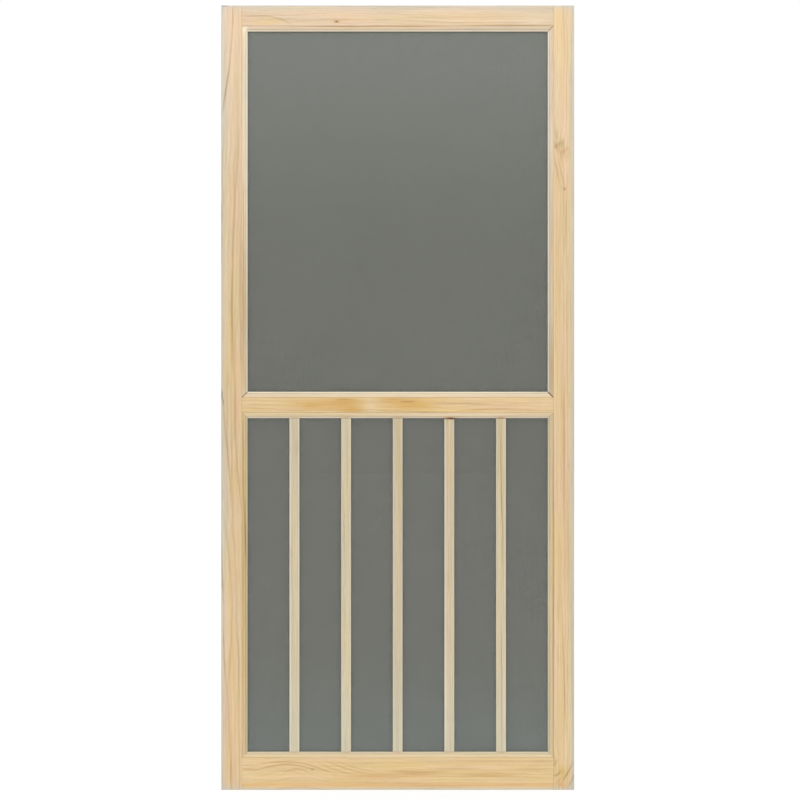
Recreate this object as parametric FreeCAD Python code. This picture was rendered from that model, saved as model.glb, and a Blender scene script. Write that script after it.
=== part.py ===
import FreeCAD
import Part
import math
import os

from FreeCAD import Vector

# A wooden screen door leaf in millimetres.
# X runs across the leaf from the hinge edge, Y from the front face to the back, Z up from the foot.
# The origin is on the hinge edge, at half the thickness, at the foot.

# The leaf
DOOR_WIDTH = 914.4
DOOR_HEIGHT = 2032.0
DOOR_THICKNESS = 25.4
EDGE_ROUND = 2.5  # eased edges all round the front and back faces

# Frame members, each measured from its outer edge to the edge of the opening
STILE_WIDTH = 68.5
TOP_RAIL_WIDTH = 67.5
MID_RAIL_WIDTH = 68.5
BOTTOM_RAIL_WIDTH = 98.5
LOWER_OPENING_HEIGHT = 864.5

# Mortise-and-tenon joints between rails and stiles
TENON_LENGTH = 40.0
TENON_THICKNESS = 8.0
TENON_SHOULDER = 12.0  # set-in of the tenon from the rail's upper and lower edges
MORTISE_GAP = 0.1  # glue room on each cheek of a tenon
MORTISE_END_GAP = 2.0  # glue room beyond a tenon's end
SHOULDER_GAP = 0.3  # hairline between a rail's front shoulder and the stile's rebate wall

# Screen cloth
SCREEN_THICKNESS = 0.8
SCREEN_INSET = 2.0  # from the rebate wall to the edge of the cloth

# Beaded moulding that clamps the cloth in the rebate
MOULDING_WIDTH = 15.0  # also the width of the rebate
MOULDING_THICKNESS = 9.5
MOULDING_SET = 0.6  # depth of the moulding's flat below the front face
MOULDING_ARRIS = 0.4  # chamfer beside the rebate wall
REBATE_GAP = 0.15  # play between the moulding and the rebate wall
MITRE_GAP = 0.15  # set-back of each mitred end
OPEN_MITRE_LEFT = 0.9  # set-back at the left end of the strip under the upper screen, which has opened
OPEN_MITRE_RIGHT = 1.8  # and at its right end
BEAD_RADIUS = 2.8
BEAD_DROP = 0.3  # depth of the bead's crown below the flat
QUIRK_WIDTH = 1.0
QUIRK_DEPTH = 1.4

# Upright bars in front of the lower screen
BAR_COUNT = 5
BAR_WIDTH = 25.4
BAR_THICKNESS = 9.5
BAR_ROUND = 2.0  # rounding of the two long edges of a bar's front
BAR_END_GAP = 0.3  # hairline between a bar's end and the moulding that it butts against
LOOSE_BAR = 4  # the bar, counted from the hinge side, that falls short at its head
LOOSE_BAR_GAP = 1.8

# Places that follow from the sizes above
FRONT = -DOOR_THICKNESS / 2
BACK = DOOR_THICKNESS / 2
SEAT = FRONT + MOULDING_SET + MOULDING_THICKNESS  # front of the cloth, back of the mouldings and bars
REBATE_FLOOR = SEAT + SCREEN_THICKNESS

SIGHT_LEFT = STILE_WIDTH
SIGHT_RIGHT = DOOR_WIDTH - STILE_WIDTH
REBATE_LEFT = SIGHT_LEFT - MOULDING_WIDTH
REBATE_RIGHT = SIGHT_RIGHT + MOULDING_WIDTH

LOWER_FOOT = BOTTOM_RAIL_WIDTH
LOWER_HEAD = LOWER_FOOT + LOWER_OPENING_HEIGHT
UPPER_FOOT = LOWER_HEAD + MID_RAIL_WIDTH
UPPER_HEAD = DOOR_HEIGHT - TOP_RAIL_WIDTH

TENON_FRONT = (REBATE_FLOOR + BACK - TENON_THICKNESS) / 2
TENON_BACK = TENON_FRONT + TENON_THICKNESS

BEAD_RISE = BEAD_RADIUS + BEAD_DROP - QUIRK_DEPTH  # quirk floor above the bead's centre
BEAD_SPAN = BEAD_RADIUS + math.sqrt(BEAD_RADIUS**2 - BEAD_RISE**2)
FLAT_START = BEAD_SPAN + QUIRK_WIDTH  # from the sight edge to the moulding's flat
TIGHT_MITRES = (MITRE_GAP, MITRE_GAP)
OPEN_MITRES = (OPEN_MITRE_LEFT, OPEN_MITRE_RIGHT)

# Rails: foot, head, and whether an opening lies below and above
RAILS = {
    "bottom_rail": (0.0, LOWER_FOOT, False, True),
    "mid_rail": (LOWER_HEAD, UPPER_FOOT, True, True),
    "top_rail": (UPPER_HEAD, DOOR_HEIGHT, True, False),
}


def block(x_range, y_range, z_range):
    """A square-cut block between the two ends of each range."""
    low, high = (Vector(*ends) for ends in zip(x_range, y_range, z_range))
    size = high - low
    return Part.makeBox(size.x, size.y, size.z, low)


def leaf_outline():
    """The whole leaf as one slab, with the edges of its two faces eased."""
    slab = block((0, DOOR_WIDTH), (FRONT, BACK), (0, DOOR_HEIGHT))
    faces = [face for face in slab.Faces if abs(face.normalAt(0, 0).y) > 0.5]
    return slab.makeFillet(EDGE_ROUND, [edge for face in faces for edge in face.Edges])


def tenon_span(foot, head):
    """Lower and upper limits of the tenons of a rail."""
    return foot + TENON_SHOULDER, head - TENON_SHOULDER


def rail(leaf, foot, head, opening_below, opening_above):
    """A rail with rebates beside its openings, long front shoulders and a tenon at each end."""
    face_foot = foot + MOULDING_WIDTH * opening_below
    face_head = head - MOULDING_WIDTH * opening_above
    face_ends = (REBATE_LEFT + SHOULDER_GAP, REBATE_RIGHT - SHOULDER_GAP)
    face = block(face_ends, (FRONT, REBATE_FLOOR), (face_foot, face_head))
    body = block((SIGHT_LEFT, SIGHT_RIGHT), (REBATE_FLOOR, BACK), (foot, head))
    tenon_ends = (SIGHT_LEFT - TENON_LENGTH, SIGHT_RIGHT + TENON_LENGTH)
    tenons = block(tenon_ends, (TENON_FRONT, TENON_BACK), tenon_span(foot, head))
    return leaf.common(face.fuse([body, tenons])).removeSplitter()


def stile(leaf):
    """The hinge-side stile: rebated from foot to head, with a blind mortise for each rail."""
    post = leaf.common(block((0, STILE_WIDTH), (FRONT, BACK), (0, DOOR_HEIGHT)))
    cuts = [block((REBATE_LEFT, SIGHT_LEFT), (FRONT, REBATE_FLOOR), (0, DOOR_HEIGHT))]
    for foot, head, _, _ in RAILS.values():
        low, high = tenon_span(foot, head)
        cuts.append(
            block(
                (SIGHT_LEFT - TENON_LENGTH - MORTISE_END_GAP, SIGHT_LEFT),
                (TENON_FRONT - MORTISE_GAP, TENON_BACK + MORTISE_GAP),
                (low - MORTISE_GAP, high + MORTISE_GAP),
            )
        )
    return post.cut(cuts)


def moulding_outline():
    """Section of a moulding that lies along +X: rebate corner at the origin, bead towards +Z."""

    def point(u, v):
        """The place u in from the sight edge and v out from the back."""
        return Vector(0, -v, MOULDING_WIDTH - u)

    bead_centre = MOULDING_THICKNESS - BEAD_DROP - BEAD_RADIUS
    quirk_floor = MOULDING_THICKNESS - QUIRK_DEPTH
    outer = MOULDING_WIDTH - REBATE_GAP
    spring = point(0, bead_centre)
    crown = point(BEAD_RADIUS, bead_centre + BEAD_RADIUS)
    heel = point(BEAD_SPAN, quirk_floor)
    chain = [
        heel,
        point(FLAT_START, quirk_floor),
        point(FLAT_START, MOULDING_THICKNESS),
        point(outer - MOULDING_ARRIS, MOULDING_THICKNESS),
        point(outer, MOULDING_THICKNESS - MOULDING_ARRIS),
        point(outer, 0),
        point(0, 0),
        spring,
    ]
    edges = [Part.makeLine(start, end) for start, end in zip(chain, chain[1:])]
    edges.append(Part.Arc(spring, crown, heel).toShape())
    return Part.Face(Part.Wire(Part.__sortEdges__(edges)))


def moulding(length, start_gap, end_gap):
    """A beaded strip along +X, mitred at both ends."""
    strip = moulding_outline().extrude(Vector(length, 0, 0))
    mitre_corners = [
        Vector(start_gap, 0, 0),
        Vector(start_gap + MOULDING_WIDTH, 0, MOULDING_WIDTH),
        Vector(length - end_gap - MOULDING_WIDTH, 0, MOULDING_WIDTH),
        Vector(length - end_gap, 0, 0),
    ]
    plan = Part.Face(Part.makePolygon(mitre_corners, True))
    return strip.common(plan.extrude(Vector(0, -MOULDING_THICKNESS, 0)))


def panel_mouldings(foot, head, bottom_gaps):
    """The four strips round one opening, by side."""
    low = foot - MOULDING_WIDTH
    high = head + MOULDING_WIDTH
    across = REBATE_RIGHT - REBATE_LEFT
    upright = high - low
    layout = {
        "bottom": (across, bottom_gaps, 0, REBATE_LEFT, low),
        "left": (upright, TIGHT_MITRES, 90, REBATE_LEFT, high),
        "top": (across, TIGHT_MITRES, 180, REBATE_RIGHT, high),
        "right": (upright, TIGHT_MITRES, 270, REBATE_RIGHT, low),
    }
    strips = {}
    for side, (length, gaps, turn, x, z) in layout.items():
        strip = moulding(length, *gaps)
        strip.rotate(Vector(), Vector(0, 1, 0), turn)
        strip.translate(Vector(x, SEAT, z))
        strips[side] = strip
    return strips


def bar_centres():
    """Places of the bars across the leaf, with equal bays between them."""
    opening = SIGHT_RIGHT - SIGHT_LEFT
    bay = (opening - BAR_COUNT * BAR_WIDTH) / (BAR_COUNT + 1)
    first = SIGHT_LEFT + bay + BAR_WIDTH / 2
    return [first + number * (bay + BAR_WIDTH) for number in range(BAR_COUNT)]


def bar(centre, head_gap):
    """A bar on the face of the cloth, rounded along its front, that butts against the mouldings."""
    half = BAR_WIDTH / 2
    front = SEAT - BAR_THICKNESS
    stick = block(
        (centre - half, centre + half),
        (front, SEAT),
        (LOWER_FOOT + BAR_END_GAP, LOWER_HEAD - head_gap),
    )
    face = min(stick.Faces, key=lambda side: side.CenterOfMass.y)
    upright_edges = [edge for edge in face.Edges if abs(edge.tangentAt(edge.FirstParameter).z) > 0.5]
    return stick.makeFillet(BAR_ROUND, upright_edges)


def screen(foot, head):
    """A panel of cloth that reaches into the rebates on all four sides."""
    reach = MOULDING_WIDTH - SCREEN_INSET
    return block(
        (SIGHT_LEFT - reach, SIGHT_RIGHT + reach),
        (SEAT, REBATE_FLOOR),
        (foot - reach, head + reach),
    )


def build():
    """Every piece of the door, by name."""
    leaf = leaf_outline()
    pieces = {"left_stile": stile(leaf)}
    pieces["right_stile"] = pieces["left_stile"].mirror(Vector(DOOR_WIDTH / 2, 0, 0), Vector(1, 0, 0))
    for name, layout in RAILS.items():
        pieces[name] = rail(leaf, *layout)
    pieces["upper_screen"] = screen(UPPER_FOOT, UPPER_HEAD)
    pieces["lower_screen"] = screen(LOWER_FOOT, LOWER_HEAD)
    for side, strip in panel_mouldings(UPPER_FOOT, UPPER_HEAD, OPEN_MITRES).items():
        pieces[f"upper_moulding_{side}"] = strip
    for side, strip in panel_mouldings(LOWER_FOOT, LOWER_HEAD, TIGHT_MITRES).items():
        pieces[f"lower_moulding_{side}"] = strip
    for number, centre in enumerate(bar_centres(), start=1):
        head_gap = LOOSE_BAR_GAP if number == LOOSE_BAR else BAR_END_GAP
        pieces[f"bar_{number}"] = bar(centre, head_gap)
    return pieces


os.makedirs("parts", exist_ok=True)
for node, shape in build().items():
    shape.exportStep(f"parts/{node}.step")
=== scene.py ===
import math
from collections import namedtuple

import bpy
import numpy as np
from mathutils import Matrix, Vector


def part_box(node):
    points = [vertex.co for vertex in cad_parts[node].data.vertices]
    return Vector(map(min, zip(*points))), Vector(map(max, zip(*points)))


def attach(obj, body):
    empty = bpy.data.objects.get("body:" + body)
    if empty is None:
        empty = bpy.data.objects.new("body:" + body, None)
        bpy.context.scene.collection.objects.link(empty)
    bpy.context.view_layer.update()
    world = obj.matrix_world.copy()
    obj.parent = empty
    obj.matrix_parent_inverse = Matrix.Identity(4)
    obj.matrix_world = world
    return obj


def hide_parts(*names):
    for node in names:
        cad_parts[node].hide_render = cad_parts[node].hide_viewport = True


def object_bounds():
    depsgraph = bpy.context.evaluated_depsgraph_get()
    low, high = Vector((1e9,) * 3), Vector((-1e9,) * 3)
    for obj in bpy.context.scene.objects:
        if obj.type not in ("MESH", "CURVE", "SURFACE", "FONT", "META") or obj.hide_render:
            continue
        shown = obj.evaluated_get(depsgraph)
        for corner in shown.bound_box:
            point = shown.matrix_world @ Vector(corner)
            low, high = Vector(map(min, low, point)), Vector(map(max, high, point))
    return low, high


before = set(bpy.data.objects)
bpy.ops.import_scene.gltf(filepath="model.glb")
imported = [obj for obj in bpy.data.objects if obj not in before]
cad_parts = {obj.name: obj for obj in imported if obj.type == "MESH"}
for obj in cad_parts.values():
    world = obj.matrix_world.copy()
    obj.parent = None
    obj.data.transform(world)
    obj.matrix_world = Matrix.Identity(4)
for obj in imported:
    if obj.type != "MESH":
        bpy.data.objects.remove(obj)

CAD_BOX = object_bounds()
DOOR_LOW, DOOR_HIGH = CAD_BOX
DOOR_CENTRE = (DOOR_LOW + DOOR_HIGH) / 2
SCENE = bpy.context.scene
MM = 0.001
INCH = 25.4 * MM
WHITE = (1.0, 1.0, 1.0, 1.0)

# The door's place in the photograph, in pixels of the 800 x 800 picture
IMAGE_SIDE = 800
DOOR_CENTRE_PX = (397.7, 397.7)
DOOR_HEIGHT_PX = 784.6

# Camera: its lens and sensor, and how far it sees, in metres
LENS_MM = 120.0
SENSOR_MM = 36.0
CAMERA_CLIP = 100.0

# Light that reaches the middle of the door's face, as a multiple of the white surround
STUDIO_LIGHT = 1.25


class Graph:
    """A material's node tree, with short calls that add and join nodes."""

    def __init__(self, name):
        self.material = bpy.data.materials.new(name)
        self.material.use_nodes = True
        self.tree = self.material.node_tree
        self.tree.nodes.clear()

    def add(self, kind, inputs, **settings):
        node = self.tree.nodes.new("ShaderNode" + kind)
        for key, value in settings.items():
            setattr(node, key, value)
        for key, value in inputs.items():
            if isinstance(value, bpy.types.NodeSocket):
                self.tree.links.new(value, node.inputs[key])
            else:
                node.inputs[key].default_value = value
        return node

    def math(self, operation, *values):
        return self.add("Math", dict(enumerate(values)), operation=operation).outputs[0]

    def vector(self, operation, *values):
        node = self.add("VectorMath", dict(enumerate(values)), operation=operation)
        return node.outputs["Value" if operation in ("LENGTH", "DOT_PRODUCT") else "Vector"]

    def mix(self, factor, a, b):
        return self.add("Mix", {0: factor, 6: a, 7: b}, data_type="RGBA").outputs[2]

    def mark(self, colour, mask, strength, mark_colour):
        """The colour, with a mark laid over it where the mask is above 0."""
        return self.mix(self.math("MULTIPLY", mask, strength), colour, mark_colour)

    def remap(self, value, low, high, to_low, to_high):
        return self.add("MapRange", dict(enumerate((value, low, high, to_low, to_high)))).outputs[0]

    def noise(self, place, kind, seed):
        """Smooth noise, at a place given along the grain, across it and through the board."""
        scaled = self.vector("MULTIPLY", place, (kind.along, kind.across, kind.across))
        inputs = {"Vector": scaled, "W": seed + kind.seed_step, "Scale": 1.0, "Detail": kind.detail}
        return self.add("TexNoise", inputs, noise_dimensions="4D").outputs

    def sway(self, place, kind, seed):
        """Three smooth random offsets about zero."""
        return self.vector("SUBTRACT", self.noise(place, kind, seed)["Color"], (0.5, 0.5, 0.5))

    def ramp(self, value, stops):
        node = self.add("ValToRGB", {"Fac": value})
        elements = node.color_ramp.elements
        for position, _ in stops[2:]:
            elements.new(position)
        for element, (position, shade) in zip(elements, stops):
            element.position = position
            element.color = (shade, shade, shade, 1.0)
        return node.outputs["Color"]

    def fall(self, squares):
        """1 where the sum of squares is 0, falling smoothly to 0."""
        return self.math("EXPONENT", self.math("MULTIPLY", squares, -1.0))

    def patch(self, place, x, z, x_size, z_size):
        """A soft round patch on the door's face, in millimetres, right through its thickness."""
        offset = self.vector("SUBTRACT", place, (x * MM, 0.0, z * MM))
        offset = self.vector("MULTIPLY", offset, (1 / (x_size * MM), 0.0, 1 / (z_size * MM)))
        return self.fall(self.vector("DOT_PRODUCT", offset, offset))

    def line(self, place, x0, z0, x1, z1, width, bow):
        """A soft line on the door's face, in millimetres, right through its thickness.

        Its middle bows to the left of its run, which is up for a line that runs to the right.
        """
        half = math.hypot(x1 - x0, z1 - z0) / 2
        unit_x = (x1 - x0) / 2 / half
        unit_z = (z1 - z0) / 2 / half
        offset = self.vector("SUBTRACT", place, ((x0 + x1) / 2 * MM, 0.0, (z0 + z1) / 2 * MM))
        lengthways = self.vector("DOT_PRODUCT", offset, (unit_x / (half * MM), 0.0, unit_z / (half * MM)))
        sideways = self.vector("DOT_PRODUCT", offset, (-unit_z / (width * MM), 0.0, unit_x / (width * MM)))
        square = self.math("MULTIPLY", lengthways, lengthways)
        if bow:
            arch = self.math("MULTIPLY_ADD", square, bow / width, -bow / width)
            sideways = self.math("ADD", sideways, arch)
        ends = self.math("MULTIPLY", square, square)
        return self.fall(self.math("MULTIPLY_ADD", sideways, sideways, ends))

    def output(self, shader):
        self.add("OutputMaterial", {"Surface": shader})
        return self.material


def tone(red, green, blue):
    """Surface colour that shows as this 8-bit sRGB colour under the studio light."""
    def channel(value):
        share = value / 255
        light = share / 12.92 if share <= 0.04045 else ((share + 0.055) / 1.055) ** 2.4
        return light / STUDIO_LIGHT

    return (channel(red), channel(green), channel(blue), 1.0)


# Pine colours
BLUSH = tone(236, 201, 172)
GOLD = tone(229, 198, 134)
STREAK_AND_SHADE_BROWN = tone(160, 104, 50)
KNOT_AND_GAP_SHADOW_BROWN = tone(104, 62, 34)
KNOT_AND_GAP_HALO_AMBER = tone(214, 160, 100)
DIRT_AND_SHADE_GREY = tone(122, 120, 104)

# Noise in the wood: waves a metre along the grain and across it, how far its seed is from the board's,
# and its octaves
Noise = namedtuple("Noise", "along across seed_step detail")
DRIFT = Noise(1.4, 5.0, 0.0, 2.0)
TREMOR = Noise(32.0, 80.0, 0.0, 2.0)
RIPPLE = Noise(11.0, 30.0, 1.0, 2.0)
LAPSE = Noise(4.0, 40.0, 2.0, 2.0)
BLUSH_CLOUD = Noise(5.0, 50.0, 3.0, 2.0)
GOLD_CLOUD = Noise(4.0, 65.0, 4.0, 2.0)
STREAKINESS = Noise(2.5, 170.0, 5.0, 3.0)
FLECK = Noise(70.0, 1600.0, 6.0, 1.0)
FRAYING = Noise(9.0, 110.0, 7.0, 2.0)
DASHES = Noise(14.0, 260.0, 8.0, 2.0)
FIBRE = Noise(16.0, 950.0, 0.0, 3.0)

# How a noise is read: its low and high value, and then what those become
LAPSE_PRESENCE = (0.34, 0.6, 0.3, 1.0)
BLUSH_LOW, BLUSH_HIGH = 0.42, 0.66
GOLD_LOW, GOLD_HIGH = 0.45, 0.68
FIBRE_VALUE = (0.3, 0.7, 0.95, 1.05)
STREAKINESS_VALUE = (0.3, 0.7, 0.92, 1.08)
DASHES_VALUE = (0.52, 0.7, 1.0, 0.9)
FLECK_VALUE = (0.62, 0.72, 1.0, 0.86)

# Growth rings: how far ripple and tremor bend them, how uneven their widths are, their shade from one
# ring's start to the next, and how much of it a faint and a strong ring keep
RIPPLE_BEND = 9 * MM
TREMOR_BEND = 3 * MM
UNEVEN_WAVES = 60.0
UNEVEN_RINGS = 1.4
RING_SHADE = [(0.0, 0.25), (0.1, 0.0), (0.55, 0.06), (0.85, 0.7), (0.93, 1.0), (1.0, 0.25)]
FAINT_RING, STRONG_RING = 0.2, 1.0

# Amber round a knot, and round a dark line painted as the shadow in a gap, as multiples of its size and
# strength
HALO_SIZE = 2.2
HALO_STRENGTH = 0.6

# Surface of the wood: early wood is rougher than late wood, which stands a little proud
EARLY_ROUGHNESS, LATE_ROUGHNESS = 0.66, 0.54
LATE_RELIEF = 0.5
BUMP_STRENGTH = 0.25
BUMP_DISTANCE = 0.4 * MM
WOOD_SPECULAR = 0.25

# Greying of the front corners of edges that stand free: how far it reaches over the face and round
# the corner, and its hue
WEATHER_REACH = 7.5 * MM
WEATHER_DEPTH = 3.5 * MM
WEATHER_TINT = (0.95, 1.0, 0.92)

# How far a mark wavers across the grain and a tint frays along it, for wood that runs up the door
# or across it
WAVER = {"Z": (4 * MM, 0.0, 0.0), "X": (0.0, 0.0, 4 * MM)}
FRAY = {"Z": (8 * MM, 0.0, 60 * MM), "X": (60 * MM, 0.0, 8 * MM)}


def ring_bands(graph, place, board, ripple, seed, pith, spacing, wander, swells):
    """Late-wood bands, 0 to 1, of growth rings about a pith that wanders along the board."""
    drift = graph.sway(board, DRIFT, seed)
    tremor = graph.sway(board, TREMOR, seed)
    bent = board
    for bend, size in ((drift, wander * MM), (ripple, RIPPLE_BEND), (tremor, TREMOR_BEND)):
        bent = graph.vector("MULTIPLY_ADD", bend, (0.0, size, size), bent)
    across, through = pith
    from_pith = graph.vector("SUBTRACT", bent, (0.0, across * MM, through * MM))
    radius = graph.vector("LENGTH", graph.vector("MULTIPLY", from_pith, (0.0, 1.0, 1.0)))
    for *where, height in swells:
        radius = graph.math("MULTIPLY_ADD", graph.patch(place, *where), height * MM, radius)

    outward = graph.math("MULTIPLY", radius, UNEVEN_WAVES)
    uneven = graph.add("TexNoise", {"W": outward, "Scale": 1.0, "Detail": 2.0},
                       noise_dimensions="1D").outputs["Fac"]
    rings = graph.math("MULTIPLY_ADD", uneven, UNEVEN_RINGS, graph.math("DIVIDE", radius, spacing * MM))
    ring_number = graph.math("ADD", graph.math("FLOOR", rings), seed)
    ring_weight = graph.add("TexWhiteNoise", {"W": ring_number}, noise_dimensions="1D").outputs["Value"]
    band = graph.ramp(graph.math("FRACT", rings), RING_SHADE)
    return graph.math("MULTIPLY", band, graph.remap(ring_weight, 0.0, 1.0, FAINT_RING, STRONG_RING))


def greyed_edges(graph, axes, colour, free_edges, strength):
    """Colour that fades to an olive grey towards the front corners of the edges that stand free."""
    weather = 0.0
    for axis, at, inward in free_edges:
        distance = graph.math(
            "MULTIPLY_ADD", axes[axis], -inward / WEATHER_REACH, inward * at / WEATHER_REACH)
        weather = graph.math("ADD", graph.math("EXPONENT", distance), weather)
    depth = graph.math("MULTIPLY_ADD", axes["Y"], -1 / WEATHER_DEPTH, DOOR_LOW.y / WEATHER_DEPTH)
    front = graph.math("MULTIPLY", graph.math("EXPONENT", depth), strength)
    weather = graph.math("MULTIPLY", graph.math("MINIMUM", weather, 1.0), front)
    grey = graph.add("RGBToBW", {"Color": colour}).outputs[0]
    return graph.mix(weather, colour, graph.vector("MULTIPLY", grey, WEATHER_TINT))


def pine(name, along, early, late, seed, pith, spacing, wander, grain, blush=0.6, gold=0.6,
         free_edges=(), weathering=0.7, swells=(), tints=(), bands=(), streaks_and_shade_lines=(), knots_and_gap_shadows=(), dirt_and_shade=()):
    """Sawn pine: growth rings, fibres, blush, knots and greyed edges, with highlights and dark shade lines
    painted where they are given.

    Lengths are millimetres. The pith's place is given across the board and through it, and marks are
    placed on the door's face by x and z from the foot of the hinge edge.
    """
    graph = Graph(name)
    place = graph.add("TexCoord", {}).outputs["Object"]
    axes = graph.add("SeparateXYZ", {"Vector": place}).outputs
    across = "X" if along == "Z" else "Z"
    board = graph.add("CombineXYZ", {"X": axes[along], "Y": axes[across], "Z": axes["Y"]}).outputs[0]
    ripple = graph.sway(board, RIPPLE, seed)
    lapse = graph.noise(board, LAPSE, seed)["Fac"]
    presence = graph.remap(lapse, *LAPSE_PRESENCE)

    band = ring_bands(graph, place, board, ripple, seed, pith, spacing, wander, swells)
    band = graph.math("MULTIPLY", band, presence)
    colour = graph.mix(graph.math("MULTIPLY", band, grain), early, late)
    cloud = graph.noise(board, BLUSH_CLOUD, seed)["Fac"]
    colour = graph.mix(graph.remap(cloud, BLUSH_LOW, BLUSH_HIGH, 0.0, blush), colour, BLUSH)
    cloud = graph.noise(board, GOLD_CLOUD, seed)["Fac"]
    colour = graph.mix(graph.remap(cloud, GOLD_LOW, GOLD_HIGH, 0.0, gold), colour, GOLD)
    frayed = graph.vector("MULTIPLY_ADD", graph.sway(board, FRAYING, seed), FRAY[along], place)
    for *where, tint, strength in tints:
        colour = graph.mark(colour, graph.patch(frayed, *where), strength, tone(*tint))
    for *where, tint, strength in bands:
        colour = graph.mark(colour, graph.patch(place, *where), strength, tone(*tint))

    wavering = graph.vector("MULTIPLY_ADD", ripple, WAVER[along], place)
    # Grain streaks, and dark lines painted as the shade in joints and mitres
    for *where, strength in streaks_and_shade_lines:
        colour = graph.mark(colour, graph.line(wavering, *where), strength, STREAK_AND_SHADE_BROWN)
    # Knots with an amber ring, and dark lines painted as the shadow in a gap, with the same ring
    for x, z, x_size, z_size, strength in knots_and_gap_shadows:
        halo = graph.patch(place, x, z, HALO_SIZE * x_size, HALO_SIZE * z_size)
        core = graph.patch(place, x, z, x_size, z_size)
        colour = graph.mark(colour, halo, HALO_STRENGTH * strength, KNOT_AND_GAP_HALO_AMBER)
        colour = graph.mark(colour, core, strength, KNOT_AND_GAP_SHADOW_BROWN)
    # Grey lines: dirt, and shade painted into a joint
    for *where, strength in dirt_and_shade:
        colour = graph.mark(colour, graph.line(place, *where), strength, DIRT_AND_SHADE_GREY)

    fibre = graph.noise(board, FIBRE, seed)["Fac"]
    value = graph.remap(fibre, *FIBRE_VALUE)
    for kind, reading in ((STREAKINESS, STREAKINESS_VALUE), (DASHES, DASHES_VALUE), (FLECK, FLECK_VALUE)):
        shade = graph.remap(graph.noise(board, kind, seed)["Fac"], *reading)
        value = graph.math("MULTIPLY", value, shade)
    colour = graph.add("HueSaturation", {"Color": colour, "Value": value}).outputs[0]
    if free_edges:
        colour = greyed_edges(graph, axes, colour, free_edges, weathering)

    relief = graph.math("MULTIPLY_ADD", band, LATE_RELIEF, fibre)
    bump = graph.add("Bump", {
        "Strength": BUMP_STRENGTH, "Distance": BUMP_DISTANCE, "Height": relief,
    }).outputs[0]
    rough = graph.remap(band, 0.0, 1.0, EARLY_ROUGHNESS, LATE_ROUGHNESS)
    shader = graph.add("BsdfPrincipled", {
        "Base Color": colour, "Roughness": rough, "Normal": bump, "Specular IOR Level": WOOD_SPECULAR,
    }).outputs[0]
    return graph.output(shader)


def put_material(node, material):
    """Gives a CAD node one material."""
    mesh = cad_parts[node].data
    mesh.materials.clear()
    mesh.materials.append(material)


def edge(node, axis, end):
    """An edge of a node: its axis, its place, and which way the wood lies."""
    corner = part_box(node)[0 if end == "low" else 1]
    return axis, corner["XYZ".index(axis)], 1.0 if end == "low" else -1.0


def stile_edges(node, outer_end):
    """A stile's free edges: its outer side, its head and its foot."""
    return [edge(node, "X", outer_end), edge(node, "Z", "high"), edge(node, "Z", "low")]


WIDE = 1.0e6  # millimetres, so that a patch covers a whole board that way

# A pale line is painted over the joint between the right stile and the upper moulding: painted light over
# the shade in its gap
JOINT_PAINTED_LIGHT = (860.9, 1640, 1.2, 400, (250, 232, 200), 0.65)
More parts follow.
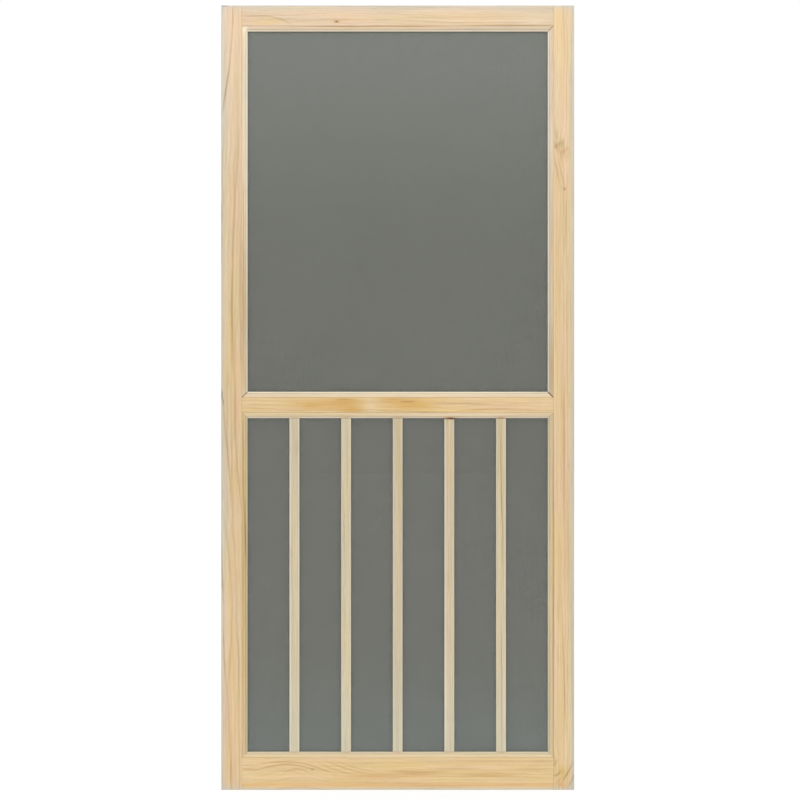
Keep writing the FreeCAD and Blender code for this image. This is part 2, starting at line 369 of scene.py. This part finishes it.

# Frame members, in millimetres. Swells, tints and bands: x, z, sizes, then height or colour and strength.
# Tints fray along the grain, and bands stay straight. Streaks and dirt, some of them painted shade lines:
# both ends, width, bow, strength.
# Knots: x, z, sizes, strength.
BOARDS = {
    "left_stile": dict(
        along="Z", early=tone(228, 203, 163), late=tone(168, 118, 68), seed=1.0,
        pith=(105, 35), spacing=8.5, wander=45, grain=0.8,
        free_edges=stile_edges("left_stile", "low"),
        swells=[(0, 1192, WIDE, 480, -18)],
        tints=[(30, 1880, 45, 260, (233, 207, 179), 0.6), (48, 1750, 9, 330, (221, 193, 157), 0.6),
               (10, 210, 12, 45, (236, 198, 170), 0.6), (8, 740, 11, 170, (212, 204, 178), 0.6),
               (30, 1290, 6, 130, (214, 200, 140), 0.4), (34, 90, 45, 230, (238, 200, 148), 0.3),
               (6, 1800, 14, 170, (206, 198, 176), 0.55), (40, 976, 14, 50, (222, 182, 124), 0.35)],
        streaks_and_shade_lines=[(30, 2026, 4.3, 1759, 2.0, 5.5, 0.3), (21.5, 1875, 5, 1762, 2.0, 0, 0.4),
                 (44, 1660, 36, 1018, 2.5, -11, 0.33), (28, 1330, 27.5, 1110, 2.2, 0, 0.18),
                 (35, 1030, 52, 733, 2.4, -4.5, 0.34), (4.3, 1010, 28.4, 733, 2.3, 0, 0.34),
                 (6, 707, 26.6, 510, 2.3, 3, 0.22), (30, 513, 15.7, 254, 2.4, 2.5, 0.18),
                 (15.7, 254, 27.6, 2, 2.3, 1, 0.24), (25, 84, 26, 2, 2.0, 0, 0.25),
                 (29, 2030, 30, 1980, 1.6, 0, 0.3), (50, 1410, 50, 1080, 2.0, 0, 0.3),
                 (41, 600, 38, 330, 2.2, 2, 0.12)],
        dirt_and_shade=[(1.6, 1036, 2.6, 1010, 1.7, 0, 0.8), (5.0, 1012, 5.6, 998, 1.5, 0, 0.7),
              (-2, 2031, 17, 2031, 1.8, 0, 0.8)]),
    "right_stile": dict(
        along="Z", early=tone(234, 206, 159), late=tone(190, 142, 86), seed=2.0,
        pith=(660, 30), spacing=5.8, wander=15, grain=0.85, gold=0.4,
        free_edges=stile_edges("right_stile", "high"), weathering=0.78,
        swells=[(874, 1668, 24, 50, 12), (866, 15, 12, 40, -14), (898, 15, 14, 40, 14)],
        tints=[(868, 1699, 5, 20, (184, 162, 112), 0.7), (884, 1671, 8, 10, (186, 170, 112), 0.8),
               (868, 1667, 6, 9, (178, 140, 90), 0.8), (888, 1648, 9, 14, (200, 164, 112), 0.7),
               (893, 1705, 8, 40, (238, 206, 178), 0.5), (893, 1608, 7, 50, (240, 204, 176), 0.6),
               (887, 870, 5, 200, (216, 170, 128), 0.5), (893, 610, 6, 130, (220, 174, 134), 0.5),
               (887, 28, 34, 46, (232, 197, 138), 0.75), (883, 48, 9, 14, (206, 182, 98), 0.6),
               (882, 12, 9, 6, (234, 170, 98), 0.8), (869, 1800, 9, 120, (231, 211, 181), 0.5),
               (905, 1800, 9, 120, (212, 199, 172), 0.5), (896, 1370, 12, 120, (238, 210, 168), 0.45),
               (875, 600, 12, 140, (216, 182, 128), 0.3), (896, 120, 12, 50, (236, 212, 170), 0.4)],
        bands=[(914.4, 1000, 6, WIDE, (198, 186, 156), 0.3), (906, 560, 9, 480, (204, 190, 152), 0.4),
               JOINT_PAINTED_LIGHT],
        streaks_and_shade_lines=[(864, 1636, 876, 1572, 1.9, 0, 0.36), (874, 1636, 890, 1562, 1.8, -1, 0.28),
                 (862, 1661, 878, 1678, 3.2, 0, 0.34), (880, 1650, 900, 1667, 3.6, -2, 0.2),
                 (892.6, 1536, 892.6, 1388, 2.4, 0, 0.25), (883, 445, 891, 181, 1.8, 0, 0.35),
                 (888, 1028, 888, 722, 2.2, 0, 0.25), (861, 36, 879, 50, 2.4, -3, 0.5),
                 (862, 61, 870, 80, 2.0, 0, 0.4), (881, 20, 909, 69, 2.3, -2, 0.46),
                 (900, 9, 914, 38, 2.0, 0, 0.38), (866, 12, 884, 34, 2.0, 2, 0.28)],
        knots_and_gap_shadows=[(889.6, 1557, 1.9, 2.4, 0.7)],
        # Painted shade: grey lines along the joint with the lower moulding
        dirt_and_shade=[(861.8, 960, 861.8, 560, 1.2, 0, 0.3), (861.8, 580, 861.8, 92, 1.2, 0, 0.4)]),
    "top_rail": dict(
        along="X", early=tone(221, 200, 170), late=tone(180, 134, 94), seed=3.0,
        pith=(1930, 45), spacing=6, wander=35, grain=0.8, gold=0.3,
        free_edges=[edge("top_rail", "Z", "high")],
        swells=[(100, 1985, 90, 30, 8)],
        tints=[(121, 1991, 42, 10, (230, 198, 140), 0.6), (620, 2000, 170, 12, (230, 202, 148), 0.4),
               (820, 1993, 60, 14, (242, 218, 184), 0.45)],
        streaks_and_shade_lines=[(52, 2003.5, 132, 2003.5, 1.7, 1, 0.4), (124, 2004, 182, 1983, 1.9, 3, 0.3),
                 # Painted shade: the line at z 1981 runs along the joint with the upper moulding
                 (304, 1989, 345, 1981, 1.6, 0, 0.15), (650, 1981, 863, 1981.3, 1.3, 0, 0.55)],
        knots_and_gap_shadows=[(299, 1990, 4.2, 2.1, 0.85)]),
    "mid_rail": dict(
        along="X", early=tone(238, 209, 156), late=tone(193, 144, 82), seed=4.0,
        pith=(930, 40), spacing=7, wander=40, grain=0.7, blush=0.4,
        tints=[(235, 996, 60, 14, (223, 179, 106), 0.8), (318, 1003, 52, 20, (216, 172, 96), 0.8),
               (339, 985, 40, 11, (219, 173, 98), 0.8), (395, 1000, 22, 34, (235, 210, 164), 0.85),
               (446, 1012, 38, 10, (215, 170, 98), 0.7), (494, 998, 60, 17, (220, 175, 96), 0.85),
               (740, 990, 90, 12, (234, 198, 160), 0.6), (850, 990, 30, 40, (236, 210, 168), 0.4)],
        streaks_and_shade_lines=[(465, 1005, 502, 1006, 1.8, 0, 0.5), (546, 1003, 690, 1000, 1.9, -1, 0.35),
                 (640, 985, 760, 988, 1.8, 1, 0.3), (300, 1012, 350, 1010, 1.8, 0, 0.25)]),
    "bottom_rail": dict(
        along="X", early=tone(236, 206, 154), late=tone(188, 138, 76), seed=5.0,
        pith=(-60, 50), spacing=6.8, wander=40, grain=0.6, blush=0.4,
        free_edges=[edge("bottom_rail", "Z", "low")],
        swells=[(190, 50, 90, 45, -16)],
        tints=[(401, 36, 75, 8, (216, 168, 106), 0.55), (499, 42, 60, 8, (219, 172, 112), 0.5),
               (700, 40, 60, 6, (216, 176, 108), 0.5), (75, 35, 22, 20, (232, 208, 160), 0.6)],
        bands=[(457, 13, WIDE, 6, (236, 184, 110), 0.75)],
        streaks_and_shade_lines=[(92, 52, 238, 54, 1.7, 13, 0.42), (100, 66, 274, 49, 1.6, 15, 0.36),
                 (162, 44, 228, 45, 1.5, 10.5, 0.36), (255, 70, 340, 41, 1.6, -4, 0.32),
                 (274, 74, 374, 44, 1.6, -3, 0.32), (56, 54.5, 98, 53, 1.7, 0, 0.34),
                 (120, 42, 214, 40, 1.5, 9, 0.22), (238, 62, 306, 42, 1.5, -2, 0.22),
                 (300, 74, 400, 47, 1.5, -3, 0.22), (450, 47, 556, 46, 1.9, 0, 0.26),
                 (559, 54.5, 665, 55, 1.8, 0, 0.26), (608, 75, 857, 75, 1.7, 0, 0.3),
                 (748, 54, 858, 55, 1.8, 0, 0.3), (634, 36, 764, 37, 1.9, 0, 0.22)],
        knots_and_gap_shadows=[(236, 53, 2.6, 1.8, 0.45)]),
}
for node, look in BOARDS.items():
    put_material(node, pine(node + "_pine", **look))

# Where the bars stand, and the warm shade of a bead at their ends, in millimetres
BARS = [f"bar_{number}" for number in range(1, 6)]
BAR_CENTRES = [(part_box(bar)[0].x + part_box(bar)[1].x) / 2 / MM for bar in BARS]
WARM_END_SIZES = (11, 4)
WARM_END_STRENGTH = 0.6


def warm_ends(z, colour):
    """Bands that warm a moulding's bead where the bars butt against it."""
    return [(x, z, *WARM_END_SIZES, colour, WARM_END_STRENGTH) for x in BAR_CENTRES]


# Mouldings: the light and dark wood of each strip, a pale highlight painted along its bead, and its own
# marks.
# Of the upper panel's mitres, one has a pale highlight painted on it and three have dark lines painted as
# the shade in their gaps.
BEAD_HIGHLIGHT_REACH = 5.0
BEAD_HIGHLIGHT_STRENGTH = 0.95
FIRST_STRIP_SEED = 20.0
MITRE_HIGHLIGHT = (62, 1971, 6, 7, (252, 243, 218), 0.8)
HEAD_MITRE = (862, 1980.5, 846, 1964.5, 1.5, 0, 0.6)
RIGHT_MITRE = (862, 1015.5, 846, 1031.5, 1.7, 0, 0.8)
LEFT_MITRE = (52.4, 1015.4, 68.5, 1031.5, 1.5, 0, 0.7)
STRIPS = {
    "upper_moulding_top": dict(
        early=tone(215, 195, 166), late=tone(184, 146, 102), bead=(220, 208, 188), bands=[MITRE_HIGHLIGHT],
        # Painted shade: the first line runs along the joint with the top rail
        streaks_and_shade_lines=[(220, 1978.3, 540, 1978.3, 1.6, 0, 0.75), HEAD_MITRE]),
    "upper_moulding_bottom": dict(
        early=tone(242, 223, 188), late=tone(216, 180, 132), bead=(244, 234, 210),
        streaks_and_shade_lines=[RIGHT_MITRE, LEFT_MITRE]),
    "upper_moulding_left": dict(
        early=tone(239, 220, 188), late=tone(206, 172, 126), bead=(233, 224, 206),
        bands=[MITRE_HIGHLIGHT, (68, 1190, 5, 170, (206, 190, 160), 0.5)],
        tints=[(61, 1800, 12, 110, (212, 196, 174), 0.4), (61, 1280, 9, 150, (204, 178, 130), 0.75),
               (61, 1080, 9, 70, (214, 180, 132), 0.65)],
        streaks_and_shade_lines=[(57, 1600, 57, 1060, 1.6, 0, 0.5), LEFT_MITRE]),
    "upper_moulding_right": dict(
        early=tone(221, 202, 175), late=tone(194, 158, 118), bead=(227, 217, 199), bands=[JOINT_PAINTED_LIGHT],
        tints=[(856, 1675, 14, 60, (236, 220, 202), 0.5), (856, 1430, 14, 130, (198, 174, 138), 0.4),
               (856, 1085, 14, 105, (186, 162, 110), 0.65)],
        streaks_and_shade_lines=[HEAD_MITRE, RIGHT_MITRE]),
    "lower_moulding_top": dict(
        early=tone(230, 209, 167), late=tone(196, 154, 104), bead=(218, 206, 184),
        tints=[(600, 970, 170, 20, (234, 216, 188), 0.45)],
        bands=warm_ends(965, (226, 190, 140)),
        # Painted shadow: dark lines on the bead over the heads of the fourth and fifth bars, in their gaps
        streaks_and_shade_lines=[(712, 963.6, 738, 963.6, 1.2, 0, 0.45)], knots_and_gap_shadows=[(595, 963.2, 10.5, 1.5, 0.95)]),
    "lower_moulding_bottom": dict(
        early=tone(236, 216, 175), late=tone(206, 166, 114), bead=(224, 212, 184),
        bands=warm_ends(97, (232, 200, 152))),
    "lower_moulding_left": dict(
        early=tone(223, 198, 147), late=tone(170, 132, 80), bead=(204, 192, 161),
        bands=[(62, 480, 3, 330, (204, 188, 126), 0.35)],
        tints=[(61, 620, 12, 110, (174, 146, 102), 0.45), (61, 190, 12, 80, (224, 204, 160), 0.4)],
        streaks_and_shade_lines=[(57, 965, 57.5, 755, 1.8, 0, 0.5), (57.5, 780, 65.5, 585, 1.9, 0, 0.55),
                 (65.5, 610, 67.5, 130, 1.8, 0, 0.18), (57, 620, 57, 110, 1.7, 0, 0.4)]),
    "lower_moulding_right": dict(
        early=tone(215, 196, 156), late=tone(180, 147, 98), bead=(210, 200, 168),
        tints=[(854, 150, 12, 80, (222, 206, 166), 0.4)],
        # Painted shade: the line along the joint with the right stile
        streaks_and_shade_lines=[(858.8, 955, 858.8, 88, 2.0, 0, 0.3)]),
}

# For a strip on each side of a panel: which way it runs, and the axis and end of its sight edge
SIGHT_EDGES = {"top": ("X", "Z", "low"), "bottom": ("X", "Z", "high"),
               "left": ("Z", "X", "high"), "right": ("Z", "X", "low")}
for number, (node, look) in enumerate(STRIPS.items()):
    along, axis, end = SIGHT_EDGES[node.rsplit("_", 1)[1]]
    sight = edge(node, axis, end)[1] / MM
    # The bead's pale colour is a painted highlight, laid as a band from the sight edge.
    reach = (sight, 0, BEAD_HIGHLIGHT_REACH, WIDE) if axis == "X" else (0, sight, WIDE, BEAD_HIGHLIGHT_REACH)
    bands = [(*reach, look.pop("bead"), BEAD_HIGHLIGHT_STRENGTH), *look.pop("bands", [])]
    put_material(node, pine(
        node + "_pine", along, seed=FIRST_STRIP_SEED + number, pith=(300, 50), spacing=6, wander=20,
        grain=0.6, blush=0.2, gold=0.2, bands=bands, **look))

# Bars: the light wood of each, with a highlight painted along both rounded edges, and pale feet. The last
# three have marks of their own, and at the heads of the last two a dark line is painted as the shadow in
# the gap to the moulding.
FIRST_BAR_SEED = 41.0
BAR_LATE = tone(170, 138, 96)
BAR_TONES = [(212, 201, 172), (213, 202, 171), (209, 196, 167), (214, 200, 170), (214, 203, 171)]
BAR_MARKS = {
    "bar_3": dict(
        tints=[(461, 800, 4, 200, (214, 182, 132), 0.45), (452, 600, 4, 350, (216, 204, 184), 0.4)]),
    # Painted shadow: a dark line at the head of this bar, in its gap to the moulding
    "bar_4": dict(
        tints=[(592, 860, 7, 90, (222, 186, 142), 0.4)], knots_and_gap_shadows=[(595, 961.2, 10.5, 1.5, 0.95)]),
    # Painted shadow: a dark line at the head of this bar, in its gap to the moulding
    "bar_5": dict(
        tints=[(726, 850, 4, 90, (214, 193, 130), 0.5)], knots_and_gap_shadows=[(725, 962.5, 11, 1.2, 0.45)],
        streaks_and_shade_lines=[(722, 970, 726.6, 720, 1.3, 0, 0.4), (726.6, 780, 730, 560, 1.3, 0, 0.45),
                 (726.6, 420, 726.6, 120, 1.3, 0, 0.4)]),
}
# Painted highlight along each bar's rounded edges: its colour, its reach in millimetres, and its strength
# on each side
EDGE_HIGHLIGHT = (240, 231, 208)
EDGE_HIGHLIGHT_REACH = 2.6
EDGE_HIGHLIGHT_STRENGTHS = [(0.95, 0.85), (0.4, 0.5), (0.4, 0.4), (0.9, 0.5), (0.3, 0.8)]
PALE_FOOT = (0, 130, WIDE, 180, (213, 208, 184), 0.45)
for number, node in enumerate(BARS):
    low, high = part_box(node)
    marks = BAR_MARKS.get(node, {})
    tints = [PALE_FOOT, *marks.pop("tints", [])]
    bands = [(side / MM, 0, EDGE_HIGHLIGHT_REACH, WIDE, EDGE_HIGHLIGHT, highlight_strength)
             for side, highlight_strength in zip((low.x, high.x), EDGE_HIGHLIGHT_STRENGTHS[number])]
    put_material(node, pine(
        node + "_pine", "Z", tone(*BAR_TONES[number]), BAR_LATE, seed=FIRST_BAR_SEED + number,
        pith=(300, 50), spacing=4.8, wander=20, grain=0.8, blush=0.15, gold=0.15,
        tints=tints, bands=bands, **marks))


# Screen cloth: flat straight strands, welded where they cross. The section's corners are shares of a
# strand's width and depth.
WARP_PITCH = INCH / 18
WEFT_PITCH = INCH / 16
STRAND_WIDTH = 1.14 * MM
STRAND_DEPTH = 0.24 * MM
WELD_DEPTH = 0.06 * MM
STRAND_SECTION = [(-0.5, 0.0), (-0.25, -0.5), (0.25, -0.5), (0.5, 0.0), (0.25, 0.5), (-0.25, 0.5)]
X, Y, Z = 0, 1, 2

# Its colour: two greys in clouds, with painted light: paler at the head of the upper screen and a bluer
# sheen at the foot of the lower.
# Patches: x, z and sizes in millimetres.
CLOTH_CLOUD = Noise(3.0, 3.0, 0.0, 2.0)
CLOTH_SEED = 9.0
CLOTH_DARK = tone(89, 91, 83)
CLOTH_LIGHT = tone(97, 99, 90)
CLOTH_PAINTED_LIGHT = [((0, 1955, WIDE, 350), tone(105, 109, 101)), ((0, 80, WIDE, 150), tone(98, 106, 100))]
CLOTH_ROUGHNESS = 0.55
CLOTH_SPECULAR = 0.3


def strands(low, high, run, across, pitch, depth_at):
    """Vertices and faces of parallel six-sided strands that fill a flat box."""
    count = int((high[across] - low[across]) / pitch)
    first = (low[across] + high[across] - (count - 1) * pitch) / 2
    sides = len(STRAND_SECTION)
    points = np.zeros((count, 2, sides, 3))
    for end, at in enumerate((low[run], high[run])):
        for corner, (side, out) in enumerate(STRAND_SECTION):
            points[:, end, corner, run] = at
            points[:, end, corner, across] = first + np.arange(count) * pitch + side * STRAND_WIDTH
            points[:, end, corner, Y] = depth_at + out * STRAND_DEPTH
    strand_faces = []
    for corner in range(sides):
        after = (corner + 1) % sides
        strand_faces.append([corner, after, sides + after, sides + corner])
    strand_faces.append(list(range(sides))[::-1])
    strand_faces.append(list(range(sides, 2 * sides)))
    faces = [[index + strand * 2 * sides for index in face]
             for strand in range(count) for face in strand_faces]
    return points.reshape(-1, 3), faces


def screen_cloth(name, node, material):
    """Two layers of strands in place of a closed sheet."""
    low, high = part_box(node)
    middle = (low.y + high.y) / 2
    lift = (STRAND_DEPTH - WELD_DEPTH) / 2
    warp, warp_faces = strands(low, high, Z, X, WARP_PITCH, middle - lift)
    weft, weft_faces = strands(low, high, X, Z, WEFT_PITCH, middle + lift)
    faces = warp_faces + [[index + len(warp) for index in face] for face in weft_faces]
    mesh = bpy.data.meshes.new(name)
    mesh.from_pydata(np.concatenate([warp, weft]).tolist(), [], faces)
    mesh.update()
    mesh.materials.append(material)
    piece = bpy.data.objects.new(name, mesh)
    SCENE.collection.objects.link(piece)
    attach(piece, "root")
    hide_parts(node)


def coated_fibreglass():
    """Grey plastic-coated strands."""
    graph = Graph("coated_fibreglass")
    place = graph.add("TexCoord", {}).outputs["Object"]
    cloud = graph.noise(place, CLOTH_CLOUD, CLOTH_SEED)["Fac"]
    colour = graph.mix(cloud, CLOTH_DARK, CLOTH_LIGHT)
    # Painted light: paler and bluer patches stand in for sheen on the cloth
    for where, shade in CLOTH_PAINTED_LIGHT:
        colour = graph.mix(graph.patch(place, *where), colour, shade)
    shader = graph.add("BsdfPrincipled", {
        "Base Color": colour, "Roughness": CLOTH_ROUGHNESS, "Specular IOR Level": CLOTH_SPECULAR,
    }).outputs[0]
    return graph.output(shader)


cloth = coated_fibreglass()
screen_cloth("upper_screen_mesh", "upper_screen", cloth)
screen_cloth("lower_screen_mesh", "lower_screen", cloth)

# Studio, in metres
FLOOR_REACH = 30.0
FLOOR_GREY = (0.2, 0.2, 0.2, 1.0)
FLOOR_GLOW = 0.82
SOFT_BOX_WIDTH = 2.4
SOFT_BOX_HEIGHT = 0.5


def camera():
    """A camera straight in front of the door, framed as the photograph is."""
    data = bpy.data.cameras.new("camera")
    data.lens = LENS_MM
    data.sensor_width = SENSOR_MM
    data.clip_end = CAMERA_CLIP
    piece = bpy.data.objects.new("camera", data)
    metres_per_px = (DOOR_HIGH.z - DOOR_LOW.z) / DOOR_HEIGHT_PX
    distance = IMAGE_SIDE * metres_per_px * LENS_MM / SENSOR_MM
    aim_x = DOOR_CENTRE.x + (IMAGE_SIDE / 2 - DOOR_CENTRE_PX[0]) * metres_per_px
    aim_z = DOOR_CENTRE.z - (IMAGE_SIDE / 2 - DOOR_CENTRE_PX[1]) * metres_per_px
    piece.location = (aim_x, DOOR_LOW.y - distance, aim_z)
    piece.rotation_euler = (math.pi / 2, 0.0, 0.0)
    SCENE.collection.objects.link(piece)
    SCENE.camera = piece


def floor():
    """A pale floor that glows a little, so that it is as white as the surround."""
    reach = FLOOR_REACH
    corners = [(-reach, -reach, 0.0), (reach, -reach, 0.0), (reach, reach, 0.0), (-reach, reach, 0.0)]
    mesh = bpy.data.meshes.new("floor")
    mesh.from_pydata(corners, [], [(0, 1, 2, 3)])
    piece = bpy.data.objects.new("floor", mesh)
    SCENE.collection.objects.link(piece)
    graph = Graph("pale_floor")
    diffuse = graph.add("BsdfDiffuse", {"Color": FLOOR_GREY}).outputs[0]
    glow = graph.add("Emission", {"Color": WHITE, "Strength": FLOOR_GLOW}).outputs[0]
    mesh.materials.append(graph.output(graph.add("AddShader", {0: diffuse, 1: glow}).outputs[0]))


def surround():
    """An even white studio."""
    world = bpy.data.worlds.new("studio")
    world.use_nodes = True
    background = world.node_tree.nodes["Background"]
    background.inputs["Color"].default_value = WHITE
    background.inputs["Strength"].default_value = 1.0
    SCENE.world = world


def soft_box(name, forward, height, aim_height, power):
    """A wide soft light in front of the door, out of the camera's sight."""
    data = bpy.data.lights.new(name, "AREA")
    data.shape = "RECTANGLE"
    data.size = SOFT_BOX_WIDTH
    data.size_y = SOFT_BOX_HEIGHT
    data.energy = power
    piece = bpy.data.objects.new(name, data)
    piece.location = (DOOR_CENTRE.x, DOOR_LOW.y - forward, height)
    aim = DOOR_CENTRE.copy()
    aim.z = aim_height
    piece.rotation_euler = (aim - piece.location).to_track_quat("-Z", "Y").to_euler()
    piece.visible_camera = False
    SCENE.collection.objects.link(piece)


camera()
floor()
surround()
soft_box("head_light", forward=0.8, height=DOOR_HIGH.z + 0.25, aim_height=DOOR_HIGH.z - 0.2, power=5.6)
soft_box("foot_light", forward=1.0, height=0.3, aim_height=0.2, power=3.2)
SCENE.view_settings.view_transform = "Standard"
